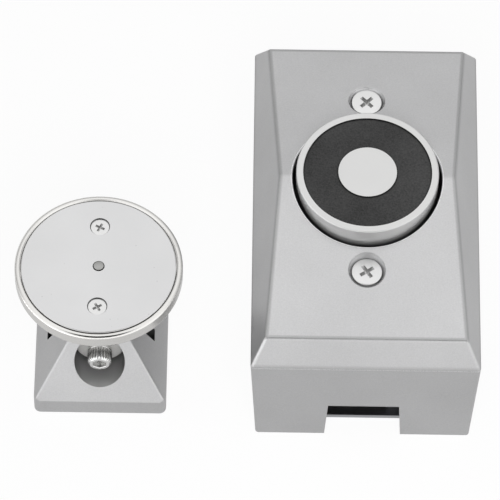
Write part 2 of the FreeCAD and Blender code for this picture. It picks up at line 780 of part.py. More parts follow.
def release_pin():
    """Sprung pin that pushes the disc off the magnet when the current stops."""
    r = pin_dia / 2
    flange_top = pocket_floor
    flange_bottom = flange_top - pin_flange_thickness
    tip = disc_face_height + pin_proud
    dome = dome_middle(r, tip - pin_dome, tip)
    flange = pin_flange_dia / 2
    outline = [(0, flange_bottom), (flange, flange_bottom), (flange, flange_top), (r, flange_top),
               (r, tip - pin_dome), (0, tip, dome)]
    return turned(outline, armature_x, armature_y)


def release_spring():
    """Compression spring under the pin's flange: a helix laid as short circular arcs."""
    low = pin_pocket_floor + spring_wire / 2
    high = pocket_floor - pin_flange_thickness - spring_wire / 2
    radius = (pin_flange_dia - spring_wire) / 2
    count = spring_turns * spring_arcs_per_turn

    def at(step):
        angle = 2 * math.pi * step / spring_arcs_per_turn
        height = low + (high - low) * step / count
        return V(armature_x + radius * math.cos(angle), armature_y + radius * math.sin(angle), height)

    arcs = [Part.Arc(at(k), at(k + 0.5), at(k + 1)).toShape() for k in range(count)]
    start = arcs[0].tangentAt(arcs[0].FirstParameter)
    section = Part.Wire(Part.Circle(at(0), start, spring_wire / 2).toShape())
    return Part.Wire(arcs).makePipeShell([section], True, True)


os.makedirs("parts", exist_ok=True)
save("housing_cover", housing_cover())
save("back_plate", back_plate())
save("cover_posts", cover_posts())
save("cover_screws", cover_screws())
save("magnet_bracket", magnet_bracket())
save("bracket_screws", bracket_screws())
save("magnet_pot", magnet_pot())
save("magnet_core", magnet_core())
save("coil_bobbin", coil_bobbin())
save("coil_winding", coil_winding())
save("potting_ring", potting_ring())
save("core_bolt", core_bolt())
save("core_lock_washer", core_lock_washer())
save("terminal_block", terminal_block())
save("terminal_screws", terminal_screws())
save("block_screw", block_screw())
save("coil_lead_red", coil_lead(1))
save("coil_lead_black", coil_lead(-1))
save("armature_base", armature_base())
save("swivel_barrel", swivel_barrel())
save("clamp_screw", clamp_screw())
save("clamp_lock_washer", clamp_lock_washer())
save("neck_stud", neck_stud())
save("neck_jam_nut", neck_jam_nut())
save("armature_cup", armature_cup())
save("armature_plate", armature_plate())
save("plate_screws", plate_screws())
save("release_pin", release_pin())
save("release_spring", release_spring())
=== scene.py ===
# %% [markdown]
# # Dressing an electromagnetic door holder for the studio
#
# The object is a set of two. The wall unit is a faceted silver casting with a round electromagnet
# in its roof. The door armature is a chromed disc that swivels on a small cast base. Their solids,
# at real size, come from the CAD frame. This lesson gives each surface its finish, and makes the few
# pieces whose detail is too fine for the solids: knurled, threaded and cross-recessed screws, the
# draft of their pockets, and a spring.

# %% Load the frame
import math
import bpy
import numpy as np
from mathutils import Matrix, Vector


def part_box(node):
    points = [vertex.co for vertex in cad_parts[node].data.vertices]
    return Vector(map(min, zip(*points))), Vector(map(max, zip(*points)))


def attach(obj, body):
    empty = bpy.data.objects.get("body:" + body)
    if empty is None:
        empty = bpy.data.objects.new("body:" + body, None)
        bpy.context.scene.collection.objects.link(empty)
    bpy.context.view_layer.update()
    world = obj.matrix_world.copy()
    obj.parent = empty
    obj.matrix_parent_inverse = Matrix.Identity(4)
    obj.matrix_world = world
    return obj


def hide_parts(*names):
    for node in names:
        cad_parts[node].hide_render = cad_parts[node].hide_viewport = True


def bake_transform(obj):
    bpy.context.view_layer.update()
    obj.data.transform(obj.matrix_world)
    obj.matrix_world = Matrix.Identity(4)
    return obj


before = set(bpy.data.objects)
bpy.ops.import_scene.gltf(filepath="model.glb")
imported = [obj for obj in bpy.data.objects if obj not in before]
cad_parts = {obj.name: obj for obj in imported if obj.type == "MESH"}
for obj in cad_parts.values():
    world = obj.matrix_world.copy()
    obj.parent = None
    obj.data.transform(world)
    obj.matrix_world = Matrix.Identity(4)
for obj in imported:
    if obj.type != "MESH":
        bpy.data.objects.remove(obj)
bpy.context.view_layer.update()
mm = 0.001
micron = 0.001 * mm

# %% [markdown]
# ## The camera
#
# The picture was taken with a long lens from high in front, so parallel edges stay almost parallel.
# The lens is given in pixels of a 500-pixel frame, because that is how a view is measured from a
# picture, and it becomes millimetres on a 36 mm sensor. The camera is placed by its own axes: two
# across the picture, tilted by the small roll, and one along the line of sight.

# %% Camera
picture_px = 500
lens_px = 4586.2
sensor_mm = 36.0
look_down = math.radians(57.756)
picture_roll = math.radians(0.846)
look_at = Vector((-37.203, 11.352, 0.0)) * mm
stand_off = 1525.958 * mm
nearest = 0.05

sight = Vector((0, math.cos(look_down), -math.sin(look_down)))
level = Vector((1, 0, 0))
upward = level.cross(sight)
across = level * math.cos(picture_roll) + upward * math.sin(picture_roll)
above = upward * math.cos(picture_roll) - level * math.sin(picture_roll)
facing = Matrix((across, above, -sight)).transposed().to_4x4()
camera_place = look_at - sight * stand_off

camera_data = bpy.data.cameras.new("camera")
camera_data.sensor_width = sensor_mm
camera_data.lens = lens_px / picture_px * sensor_mm
camera_data.clip_start = nearest
camera = bpy.data.objects.new("camera", camera_data)
camera.matrix_world = Matrix.Translation(camera_place) @ facing
bpy.context.scene.collection.objects.link(camera)
bpy.context.scene.camera = camera
bpy.context.scene.view_settings.view_transform = "Standard"
print("lens", round(camera_data.lens, 1), "mm, camera at", [round(c, 3) for c in camera_place])

# %% [markdown]
# ## Helpers for node trees
#
# Every world, floor and finish below is a small graph of nodes. One helper adds a node, sets its
# properties, and sets or links its inputs, so that each graph reads as a list of what feeds what.
# Masks are numbers from 0 to 1, and a product of masks is 1 only where all of them are.


# %% Node helpers
def empty_tree(owner):
    """Node tree of a material or a world, with its nodes cleared."""
    owner.use_nodes = True
    owner.node_tree.nodes.clear()
    return owner.node_tree


def add_node(tree, kind, inputs=None, **settings):
    """Add a node, set its properties, then set each input to a value or link it to a socket."""
    made = tree.nodes.new(kind)
    for key, value in settings.items():
        setattr(made, key, value)
    for key, value in (inputs or {}).items():
        if isinstance(value, bpy.types.NodeSocket):
            tree.links.new(value, made.inputs[key])
        else:
            made.inputs[key].default_value = value
    return made


def math_node(tree, operation, first, second=0.0):
    """Output of one arithmetic node."""
    made = add_node(tree, "ShaderNodeMath", {0: first, 1: second}, operation=operation)
    return made.outputs[0]


def all_of(tree, first, *others):
    """Product of masks: 1 where all of them are 1."""
    for other in others:
        first = math_node(tree, "MULTIPLY", first, other)
    return first


# %% [markdown]
# ## Helpers for blends
#
# Most nodes below stretch a number from one range to another, blend two numbers or colours, or take
# a place apart into its coordinates. Each gets a name here, and so does a plain grey.


# %% Blend helpers
def ramp(tree, value, start=0.0, end=1.0, low=0.0, high=1.0):
    """Number that runs from low to high as a value runs from start to end, and no further."""
    limits = {"From Min": start, "From Max": end, "To Min": low, "To Max": high}
    return add_node(tree, "ShaderNodeMapRange", {"Value": value, **limits}).outputs[0]


def mix_value(tree, mask, first, second):
    """Number that goes from a first to a second one as a mask goes from 0 to 1."""
    return add_node(tree, "ShaderNodeMix", {0: mask, 2: first, 3: second}).outputs[0]


def mix_colour(tree, mask, first, second, **settings):
    """Colour that goes from a first to a second one as a mask goes from 0 to 1."""
    values = {0: mask, 6: first, 7: second}
    return add_node(tree, "ShaderNodeMix", values, data_type="RGBA", **settings).outputs[2]


def grey(level):
    """Opaque colour with the same level in its three channels."""
    return (level, level, level, 1.0)


def axes_of(tree, vector):
    """The coordinates of a vector, as outputs named X, Y and Z."""
    return add_node(tree, "ShaderNodeSeparateXYZ", {0: vector}).outputs


# %% [markdown]
# ## The floor
#
# The set stands on a white sweep that the picture shows as pure white. For the rays of the eye the
# floor is mostly a glow of strength 1, and the rest is matt white, which keeps a faint shadow. For
# the rays of a mirror it glows less near the set, so that polished metal still shows the shade
# under the pieces. At the left front it glows more, as a white card laid there would. A Light Path
# node tells the kinds of ray apart.


# %% Floor
def eye_and_mirror_rays(tree):
    """Two masks: rays from the camera, and rays that a mirror or glass sends on."""
    path = add_node(tree, "ShaderNodeLightPath").outputs
    sent_on = math_node(tree, "MAXIMUM", path["Is Glossy Ray"], path["Is Transmission Ray"])
    return path["Is Camera Ray"], sent_on


floor_half = 4.0
eye_glow = 0.94
mirror_glow_near, mirror_glow_far = 0.5, 1.0
mirror_near, mirror_far = 0.1, 0.5
left_glow = 3.0
left_near, left_far = -0.2, -0.4
front_start, front_full = 0.0, -0.12
floor_bounce, floor_white, pure_white = grey(0.35), grey(0.9), grey(1.0)

floor_mesh = bpy.data.meshes.new("floor")
corner = np.array([[-1, -1], [1, -1], [1, 1], [-1, 1]]) * floor_half
floor_mesh.from_pydata(np.column_stack([corner, np.zeros(4)]).tolist(), [], [(0, 1, 2, 3)])
floor = bpy.data.objects.new("floor", floor_mesh)
bpy.context.scene.collection.objects.link(floor)

floor_finish = bpy.data.materials.new("white_sweep")
tree = empty_tree(floor_finish)
eye, mirror = eye_and_mirror_rays(tree)
matt_colour = mix_colour(tree, eye, floor_bounce, floor_white)
matt = add_node(tree, "ShaderNodeBsdfDiffuse", {"Color": matt_colour}).outputs[0]
spot = add_node(tree, "ShaderNodeTexCoord").outputs["Object"]
spot_axes = axes_of(tree, spot)
left = ramp(tree, spot_axes["X"], left_near, left_far)
front = ramp(tree, spot_axes["Y"], front_start, front_full)
strength = mix_value(tree, all_of(tree, left, front, mirror), 1.0, left_glow)
glow = add_node(tree, "ShaderNodeEmission", {"Color": pure_white, "Strength": strength}).outputs[0]
reach = add_node(tree, "ShaderNodeVectorMath", {0: spot}, operation="LENGTH").outputs["Value"]
mirror_glow = ramp(tree, reach, mirror_near, mirror_far, mirror_glow_near, mirror_glow_far)
eye_share = math_node(tree, "MULTIPLY", eye, eye_glow)
share = math_node(tree, "ADD", eye_share, all_of(tree, mirror, mirror_glow))
mixed = add_node(tree, "ShaderNodeMixShader", {0: share, 1: matt, 2: glow}).outputs[0]
add_node(tree, "ShaderNodeOutputMaterial", {"Surface": mixed})
floor_mesh.materials.append(floor_finish)
print("floor", 2 * floor_half, "m wide")

# %% [markdown]
# ## The world as a light tent
#
# The world is white to look at, and as a lamp it is dim. In a mirror it is a tent: bright overhead
# and at the front horizon, darker at the back, and dark round the camera, which stands in an
# opening of the tent. That opening is what keeps metal that faces the camera from turning white.

# %% World
world_light = 0.02
tent_back, tent_front, tent_top = 0.3, 1.3, 1.09
horizon_turn = 0.3
tent_full_height = 0.9
opening_inner, opening_outer = math.radians(19), math.radians(29)

world = bpy.data.worlds.new("studio")
bpy.context.scene.world = world
tree = empty_tree(world)
eye, mirror = eye_and_mirror_rays(tree)
ray = add_node(tree, "ShaderNodeTexCoord").outputs["Generated"]
ray_axes = axes_of(tree, ray)
horizon = ramp(tree, ray_axes["Y"], horizon_turn, -horizon_turn, tent_back, tent_front)
tent = ramp(tree, ray_axes["Z"], 0.0, tent_full_height, horizon, tent_top)
to_camera = add_node(tree, "ShaderNodeVectorMath", {0: ray, 1: -sight}, operation="DOT_PRODUCT")
to_camera = to_camera.outputs["Value"]
cloth = ramp(tree, to_camera, math.cos(opening_outer), math.cos(opening_inner), 1.0, 0.0)
backdrops = []
for strength in (world_light, all_of(tree, tent, cloth), 1.0):
    backdrop = add_node(tree, "ShaderNodeBackground", {"Color": pure_white, "Strength": strength})
    backdrops.append(backdrop.outputs[0])
lit, mirrored, seen = backdrops
mixed = add_node(tree, "ShaderNodeMixShader", {0: mirror, 1: lit, 2: mirrored}).outputs[0]
mixed = add_node(tree, "ShaderNodeMixShader", {0: eye, 1: mixed, 2: seen}).outputs[0]
add_node(tree, "ShaderNodeOutputWorld", {"Surface": mixed})
print("world light", world_light, "tent", tent_back, "to", tent_front)

# %% [markdown]
# ## Lamps
#
# The near half of the roof is lighter than the far half, and the faces towards the camera are
# lighter than the flanks. That is a large soft key lamp high in front, a weaker one overhead, and
# one at each side, the right one stronger. Mirrors don't show these lamps: polished metal reflects
# the tent of the cell before, so no lamp leaves a hard square on it.

# %% Lamps
lamp_table = {
    "key": {"place": (0.0, -1.1, 1.42), "size": 1.0, "watts": 22.6},
    "overhead": {"place": (0.0, 0.0, 1.6), "size": 1.2, "watts": 3.2},
    "left": {"place": (-1.5, -0.2, 0.8), "size": 1.0, "watts": 4.9},
    "right": {"place": (1.5, -0.2, 0.8), "size": 1.0, "watts": 8.5},
}


def studio_lamp(name, place, size, watts):
    """Square area lamp that faces the middle of the set."""
    data = bpy.data.lights.new(name, "AREA")
    data.size = size
    data.energy = watts
    lamp = bpy.data.objects.new(name, data)
    lamp.location = place
    lamp.rotation_euler = (look_at - lamp.location).to_track_quat("-Z", "Y").to_euler()
    lamp.visible_glossy = False
    bpy.context.scene.collection.objects.link(lamp)


for lamp_name, lamp_values in lamp_table.items():
    studio_lamp(lamp_name, **lamp_values)
print("lamps:", ", ".join(lamp_table))

# %% [markdown]
# ## Fine grain
#
# Three effects return again and again on a machined product, and each becomes a node group with
# named inputs, so that a finish only says how large and how strong it is. The first is fine grain,
# as in paint or a blasted surface, with a slow cloud beside it. The groups read object coordinates
# in metres, so a size of 0.0003 is a third of a millimetre on the real piece.


# %% Group: fine grain
def effect_group(name, inputs, outputs):
    """Empty node group with the named float sockets, and a vector socket first of its inputs."""
    group = bpy.data.node_groups.new(name, "ShaderNodeTree")
    group.interface.new_socket("Vector", in_out="INPUT", socket_type="NodeSocketVector")
    for key, value in inputs.items():
        socket = group.interface.new_socket(key, in_out="INPUT", socket_type="NodeSocketFloat")
        socket.default_value = value
    for key in outputs:
        group.interface.new_socket(key, in_out="OUTPUT", socket_type="NodeSocketFloat")
    return group, group.nodes.new("NodeGroupInput").outputs, group.nodes.new("NodeGroupOutput").inputs


def over_size(tree, vector, size):
    """Vector in units of a size, so that a pattern repeats about once per size."""
    values = {0: vector, "Scale": math_node(tree, "DIVIDE", 1.0, size)}
    return add_node(tree, "ShaderNodeVectorMath", values, operation="SCALE").outputs[0]


cloud_scale = 0.02
grain_group, taken, given = effect_group("fine_grain", {"Size": 0.3 * mm}, ["Grain", "Cloud"])
fine = {"Vector": over_size(grain_group, taken["Vector"], taken["Size"])}
grain = add_node(grain_group, "ShaderNodeTexNoise", {**fine, "Scale": 1.0, "Detail": 2.0})
cloud = add_node(grain_group, "ShaderNodeTexNoise", {**fine, "Scale": cloud_scale, "Detail": 3.0})
grain_group.links.new(grain.outputs[0], given["Grain"])
grain_group.links.new(cloud.outputs[0], given["Cloud"])
print("effect:", grain_group.name)

# %% [markdown]
# ## Turned rings
#
# A lathe tool leaves fine rings round the axis of what it turns. They are noise in one dimension,
# the distance from that axis, so they close round the piece without a seam.


# %% Group: turned rings
def axis_distance(tree, first, second):
    """Distance from an axis: the length of the two coordinates across it."""
    across = add_node(tree, "ShaderNodeCombineXYZ", {"X": first, "Y": second}).outputs[0]
    return add_node(tree, "ShaderNodeVectorMath", {0: across}, operation="LENGTH").outputs["Value"]


ring_group, taken, given = effect_group("turned_rings", {"Pitch": 0.2 * mm}, ["Rings"])
spot = axes_of(ring_group, taken["Vector"])
radius = axis_distance(ring_group, spot["X"], spot["Y"])
steps = {"W": math_node(ring_group, "DIVIDE", radius, taken["Pitch"]), "Scale": 1.0, "Detail": 2.0}
rings = add_node(ring_group, "ShaderNodeTexNoise", steps, noise_dimensions="1D")
ring_group.links.new(rings.outputs[0], given["Rings"])
print("effect:", ring_group.name)

# %% [markdown]
# ## Small marks
#
# Handling leaves a few small marks on metal. A Voronoi texture scatters one point in each cell, and
# the mark is what lies nearer to it than a radius, given as a share of the spacing.

# %% Group: small marks
mark_values = {"Spacing": 4.0 * mm, "Radius": 0.06}
mark_group, taken, given = effect_group("small_marks", mark_values, ["Marks"])
spaced = over_size(mark_group, taken["Vector"], taken["Spacing"])
scatter = {"Vector": spaced, "Scale": 1.0, "Randomness": 1.0}
cells = add_node(mark_group, "ShaderNodeTexVoronoi", scatter).outputs
dots = math_node(mark_group, "LESS_THAN", cells["Distance"], taken["Radius"])
mark_group.links.new(dots, given["Marks"])
print("effect:", mark_group.name)

# %% [markdown]
# ## Starting a finish
#
# The frame already names a material on every solid. A finish keeps that name and gives it a new
# graph: a Principled shader, the object coordinates, and whatever effects feed it. Numbers that are
# the same all over are set on the shader itself. A pattern that belongs to an axis is centred on it
# with a Mapping node.


# %% Finish helpers
def shade(colour, share):
    """Opaque colour: the three channels of a colour times a share."""
    return (*(channel * share for channel in colour), 1.0)


def tones(tree, mask, colour, low, high):
    """Colour that runs from a low to a high share of itself as a mask runs from 0 to 1."""
    return mix_colour(tree, mask, shade(colour, low), shade(colour, high))


def start_finish(slot, colour, metallic, roughness, **more):
    """Give a material a new tree with a Principled shader of constant values; return both."""
    tree = empty_tree(bpy.data.materials[slot])
    values = {"Base Color": shade(colour, 1.0), "Metallic": metallic, "Roughness": roughness, **more}
    shader = add_node(tree, "ShaderNodeBsdfPrincipled", values)
    add_node(tree, "ShaderNodeOutputMaterial", {"Surface": shader.outputs[0]})
    return tree, shader


def object_vector(tree, centre=(0.0, 0.0, 0.0)):
    """Object coordinates in metres, measured from a centre."""
    vector = add_node(tree, "ShaderNodeTexCoord").outputs["Object"]
    back = [-c for c in centre]
    return add_node(tree, "ShaderNodeMapping", {"Vector": vector, "Location": back}).outputs[0]


def use_effect(tree, group, vector, **inputs):
    """Outputs of a shared effect that is placed in a finish with its own values."""
    values = {"Vector": vector, **inputs}
    return add_node(tree, "ShaderNodeGroup", values, node_tree=group).outputs


def feed(tree, shader, colour, height, depth, rough=None):
    """Feed a shader a colour, a bump of a real depth and, with it, a roughness between two values."""
    bump = add_node(tree, "ShaderNodeBump", {"Height": height, "Distance": depth, "Strength": 1.0})
    tree.links.new(colour, shader.inputs["Base Color"])
    tree.links.new(bump.outputs[0], shader.inputs["Normal"])
    if rough:
        gloss = ramp(tree, height, low=rough[0], high=rough[1])
        tree.links.new(gloss, shader.inputs["Roughness"])


# %% [markdown]
# ## Where the castings are bare and shaded
#
# Both castings are painted silver, but the barrel's bore and the neck's slot in the armature's base
# are machined after painting, and the inside of the housing is never painted. Their bare zinc is
# given a dark colour, which is painted shade in these hollows. Masks find the bare zinc: a distance
# from the bore's axis, a band across the base, and a box inside the housing.

# %% Where the castings are bare and shaded
barrel_low, barrel_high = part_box("swivel_barrel")
bore_centre = (barrel_low + barrel_high) / 2
bore_play, end_play = 0.2 * mm, 0.05 * mm
bore_reach = (barrel_high.x - barrel_low.x) / 2 + bore_play
bore_end = (barrel_high.y - barrel_low.y) / 2 + end_play
slot_half, slot_reach = 2.25 * mm, 17.45 * mm
cover_low, cover_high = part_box("housing_cover")
cast_wall = 2.4 * mm
inside_x = (cover_high.x - cover_low.x) / 2 - cast_wall
inside_y = (cover_high.y - cover_low.y) / 2 - cast_wall
inside_top = 43.0 * mm


def within(tree, value, half):
    """1 where a value is less than half away from 0."""
    return math_node(tree, "LESS_THAN", math_node(tree, "ABSOLUTE", value), half)


def bare_shade_mask(tree):
    """1 in the hollows whose dark zinc is painted shade: inside the bore, nearer its axis than its
    radius and before its end, or inside the slot.

    It is also 1 inside the housing, within a box one wall smaller than its foot."""
    spot = axes_of(tree, object_vector(tree, bore_centre))
    from_axis = axis_distance(tree, spot["X"], spot["Z"])
    round_part = math_node(tree, "LESS_THAN", from_axis, bore_reach)
    bore = all_of(tree, round_part, math_node(tree, "LESS_THAN", spot["Y"], bore_end))
    slot = all_of(tree, within(tree, spot["Y"], slot_half), within(tree, spot["X"], slot_reach))
    spot = axes_of(tree, object_vector(tree))
    foot = all_of(tree, within(tree, spot["X"], inside_x), within(tree, spot["Y"], inside_y))
    inside = all_of(tree, foot, math_node(tree, "LESS_THAN", spot["Z"], inside_top))
    return math_node(tree, "MAXIMUM", math_node(tree, "MAXIMUM", bore, slot), inside)


print("bare bore of", round(bore_reach / mm, 2), "mm radius")

# %% [markdown]
# ## Painted shade on the roof's edges
#
# The roof's rounded edges look darker than the faces beside them, and a band of painted shade
# along each stands for that. The roof's edges are straight lines in object coordinates: two at its
# ends, and two along its sides that spread with the distance from the ridge. A band round each line
# is the mask.

# %% Painted shade on the roof's edges
roof_end, roof_length, roof_low = 54.9 * mm, 55.5 * mm, 50.0 * mm
side_at_ridge, side_spread = 27.8 * mm, 0.0709
end_half, end_fade, end_share = 0.4 * mm, 0.7 * mm, 0.7
side_half, side_fade, side_share = 0.4 * mm, 0.95 * mm, 0.85


def band(tree, distance, half, fade):
    """1 where a signed distance is less than half from 0, falling to 0 where it is fade."""
    return ramp(tree, math_node(tree, "ABSOLUTE", distance), fade, half)


def roof_edge_shade(tree, spot):
    """Painted shade, high on the roof's edges: near |y| = E at its ends, and near |x| = a + b |y| at
    its sides.
    """
    from_ridge = math_node(tree, "ABSOLUTE", spot["Y"])
    spread = math_node(tree, "MULTIPLY", from_ridge, side_spread)
    side = math_node(tree, "ADD", spread, side_at_ridge)
    past_side = math_node(tree, "SUBTRACT", math_node(tree, "ABSOLUTE", spot["X"]), side)
    past_end = math_node(tree, "SUBTRACT", from_ridge, roof_end)
    on_roof = math_node(tree, "LESS_THAN", past_side, 0.0)
    within_ends = math_node(tree, "LESS_THAN", from_ridge, roof_length)
    ends = all_of(tree, band(tree, past_end, end_half, end_fade), on_roof, end_share)
    sides = all_of(tree, band(tree, past_side, side_half, side_fade), within_ends, side_share)
    high = math_node(tree, "GREATER_THAN", spot["Z"], roof_low)
    return all_of(tree, math_node(tree, "MAXIMUM", ends, sides), high)


print("roof's sides at", round(side_at_ridge / mm, 2), "mm by the ridge")

# %% [markdown]
# ## Painted shade and highlights at the parting line and the bore
#
# The halves of the die meet at a parting line round the housing. Above it the wall's rounded edge
# is a little darker, as painted shade. Just below it a crest gets a painted highlight, and the grain
# breaks it into nicks. The edge of the magnet's bore gets a painted highlight too, all round.

# %% Painted shade and highlights at the parting line and the bore
parting_line, upper_round = 43.6 * mm, 1.4 * mm
crest_drop, crest_half = 0.3 * mm, 0.28 * mm
nick_level = 0.46
magnet_bore_edge, bore_edge_half = 24.25 * mm, 0.2 * mm


def parting_masks(tree, spot, grain):
    """Two masks: painted shade on the rounded edge above the line, and a painted highlight on
    the crest below it, broken by the grain.
    """
    height = math_node(tree, "SUBTRACT", spot["Z"], parting_line)
    above_line = math_node(tree, "GREATER_THAN", height, 0.0)
    rounded_edge_shade = all_of(tree, ramp(tree, height, upper_round, 0.0), above_line)
    crest = within(tree, math_node(tree, "ADD", height, crest_drop), crest_half)
    return rounded_edge_shade, all_of(tree, crest, math_node(tree, "GREATER_THAN", grain, nick_level))


def bore_edge_highlight(tree, spot):
    """Painted highlight mask: 1 where the distance from the magnet's axis is near its bore's edge."""
    from_axis = axis_distance(tree, spot["X"], spot["Y"])
    past_edge = math_node(tree, "SUBTRACT", from_axis, magnet_bore_edge)
    return within(tree, past_edge, bore_edge_half)


print("parting line at", round(parting_line / mm, 2), "mm")

# %% [markdown]
# ## Silver paint
#
# The paint is satin: part matt and part mirror, because the flakes in it are small metal leaves, so
# the shader is partly metallic. A grain of about half a millimetre, mixed with a slow cloud, varies
# its tone and its gloss as a sprayed surface does. The masks of the cells before then lay painted
# shade on the edges, painted highlights on the crest and the bore's edge, and the bare zinc, which is
# dark as painted shade and lighter at the bore's mouth as painted light.

# %% Silver paint
# The bare zinc's dark colour is painted shade in the hollows.
silver, bare_zinc_in_shade = (0.60, 0.60, 0.605), (0.32, 0.32, 0.32)
paint_metallic, bare_metallic = 0.65, 0.5
paint_gloss = (0.28, 0.38)
paint_grain, paint_depth = 0.45 * mm, 4 * micron
grain_share = 0.6
paint_tones, zinc_light_and_shade = (0.81, 1.19), (0.5, 1.3)
# Shares of colour: painted shade on the edges, painted highlights on the crest and the bore's edge.
edge_shade_tone, crest_highlight_tone, bore_highlight_tone = 0.68, 1.32, 1.6
bore_mouth = 9.0 * mm

tree, shader = start_finish("silver_paint", silver, paint_metallic, paint_gloss[0])
vector = object_vector(tree)
spot = axes_of(tree, vector)
effect = use_effect(tree, grain_group, vector, Size=paint_grain)
flake = mix_value(tree, grain_share, effect["Cloud"], effect["Grain"])
painted = tones(tree, flake, silver, *paint_tones)
rounded_edge_shade, crest_highlight = parting_masks(tree, spot, effect["Grain"])
# Painted shade on the roof's edges and on the rounded edge above the parting line.
shaded = math_node(tree, "MAXIMUM", rounded_edge_shade, roof_edge_shade(tree, spot))
painted = mix_colour(tree, shaded, painted, grey(edge_shade_tone), blend_type="MULTIPLY")
# Painted highlights: on the crest below the parting line and on the edge of the magnet's bore.
painted = mix_colour(tree, crest_highlight, painted, shade(silver, crest_highlight_tone))
painted = mix_colour(tree, bore_edge_highlight(tree, spot), painted, shade(silver, bore_highlight_tone))
# Painted light and shade: the bare zinc is lighter towards the bore's mouth and darker deeper in.
lit_mouth = ramp(tree, spot["Y"], barrel_low.y, barrel_low.y - bore_mouth)
zinc = tones(tree, lit_mouth, bare_zinc_in_shade, *zinc_light_and_shade)
bare = bare_shade_mask(tree)
metallic = ramp(tree, bare, low=paint_metallic, high=bare_metallic)
tree.links.new(metallic, shader.inputs["Metallic"])
cast = mix_colour(tree, bare, painted, zinc)
feed(tree, shader, cast, effect["Grain"], paint_depth, paint_gloss)
print("painted castings:", silver, "barrel's front at", round(barrel_low.y / mm, 2), "mm")

# %% [markdown]
# ## Plated and bare metal
#
# Everything else that shows is metal: nickel, chrome, zinc or plain steel. One function makes them
# all. Turned pieces take rings round their own axis, rolled or plated ones take grain, and some
# carry a few fine marks. A ground or satin face scatters part of the light, so two of them are only
# partly metallic. A screw's recess and the grooves of a knurl get painted shade, so the screws that
# are made below mark those places with an attribute.

# %% Metals
plate_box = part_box("armature_plate")
armature_axis = (plate_box[0] + plate_box[1]) / 2
magnet_axis = (0.0, 0.0, 0.0)
metal_tones = (0.95, 1.05)
mark_tone = 0.8


def metal_finish(slot, colour, rough, grain, depth, axis=None, marks=0.0, sunk=1.0, metallic=1.0):
    """Metal whose roughness runs between two values with its grain, or with rings round an axis.

    A piece may carry an attribute named sunk, 1 in its recesses, where the colour falls to a share
    of itself as painted shade. Marks are given by their radius."""
    tree, shader = start_finish(slot, colour, metallic, rough[0])
    vector = object_vector(tree, axis or magnet_axis)
    effect = use_effect(tree, grain_group, vector, Size=grain)
    lines = effect["Grain"] if axis is None else use_effect(tree, ring_group, vector)["Rings"]
    tone = tones(tree, effect["Cloud"], colour, *metal_tones)
    if marks:
        dots = use_effect(tree, mark_group, vector, Radius=marks)["Marks"]
        tone = mix_colour(tree, dots, tone, shade(colour, mark_tone))
    if sunk < 1.0:
        inside = add_node(tree, "ShaderNodeAttribute", attribute_name="sunk").outputs["Fac"]
        tone = mix_colour(tree, inside, tone, shade(colour, sunk))
    feed(tree, shader, tone, lines, depth, rough)


metal_finish("pole_steel", (0.74, 0.74, 0.735), (0.34, 0.44), 0.4 * mm, 2 * micron,
             axis=magnet_axis, marks=0.03, metallic=0.85)
metal_finish("satin_steel", (0.745, 0.745, 0.748), (0.30, 0.40), 0.4 * mm, 2 * micron, marks=0.05)
metal_finish("chrome_plate", (0.80, 0.79, 0.77), (0.14, 0.22), 0.6 * mm, 1 * micron)
metal_finish("barrel_nickel", (0.90, 0.89, 0.87), (0.36, 0.48), 0.4 * mm, 2 * micron, metallic=0.5)
metal_finish("nickel_screw", (0.86, 0.86, 0.855), (0.38, 0.48), 0.3 * mm, 2 * micron, sunk=0.6)
metal_finish("cap_screw_steel", (0.86, 0.86, 0.85), (0.20, 0.30), 0.3 * mm, 2 * micron, sunk=0.35)
metal_finish("pin_steel", (0.44, 0.44, 0.43), (0.30, 0.42), 0.3 * mm, 2 * micron, axis=armature_axis)
metal_finish("spring_steel", (0.50, 0.50, 0.50), (0.25, 0.35), 0.3 * mm, 2 * micron)
metal_finish("zinc_plate", (0.50, 0.51, 0.52), (0.30, 0.45), 0.8 * mm, 4 * micron, marks=0.04)
metal_finish("zinc_fastener", (0.60, 0.60, 0.58), (0.28, 0.42), 0.5 * mm, 3 * micron)
print("metals done; armature axis at", [round(c / mm, 2) for c in armature_axis[:2]], "mm")

# %% [markdown]
# ## Painted shade in holes and gaps
#
# Two metals get painted shade where little light reaches. The walls of the strike plate's holes
# are darkened. The magnet's pot is darkened below the roof, where the gap round the magnet lies, and
# on its walls beside the black resin between its poles. Each place is a mask made of object
# coordinates, where the finish falls to a share of its colour.


# %% Painted shade in holes and gaps
def paint_shade_where(slot, share, mask_of, *values):
    """Multiply a finish's colour by a share, as painted shade, where a mask made in the same tree is 1.
    """
    tree = bpy.data.materials[slot].node_tree
    shader = next(node for node in tree.nodes if node.type == "BSDF_PRINCIPLED")
    tone = shader.inputs["Base Color"].links[0].from_socket
    dark = mix_colour(tree, mask_of(tree, *values), tone, grey(share), blend_type="MULTIPLY")
    tree.links.new(dark, shader.inputs["Base Color"])


def walls_below(tree, axis, reach, top):
    """1 nearer an upright axis than a reach and lower than a top: the walls of what opens there."""
    spot = axes_of(tree, object_vector(tree, (axis[0], axis[1], 0.0)))
    near = math_node(tree, "LESS_THAN", axis_distance(tree, spot["X"], spot["Y"]), reach)
    return all_of(tree, near, math_node(tree, "LESS_THAN", spot["Z"], top))


def below_roof(tree, fall, fade):
    """1 where height plus the roof's fall times the distance from the ridge is under the ridge."""
    spot = axes_of(tree, object_vector(tree))
    drop = math_node(tree, "MULTIPLY", math_node(tree, "ABSOLUTE", spot["Y"]), fall)
    height = math_node(tree, "ADD", spot["Z"], drop)
    return ramp(tree, height, cover_high.z, cover_high.z - fade)


hole_reach, hole_top, hole_shade_share = 20.0 * mm, plate_box[1].z - 0.05 * mm, 0.25
resin_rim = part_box("potting_ring")[1].x
gap_shade_reach, gap_shade_share = resin_rim + 0.1 * mm, 0.06
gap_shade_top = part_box("magnet_pot")[1].z - 0.08 * mm
roof_fall, roof_gap_shade_fade, roof_gap_shade_share = 0.17, 1.5 * mm, 0.15
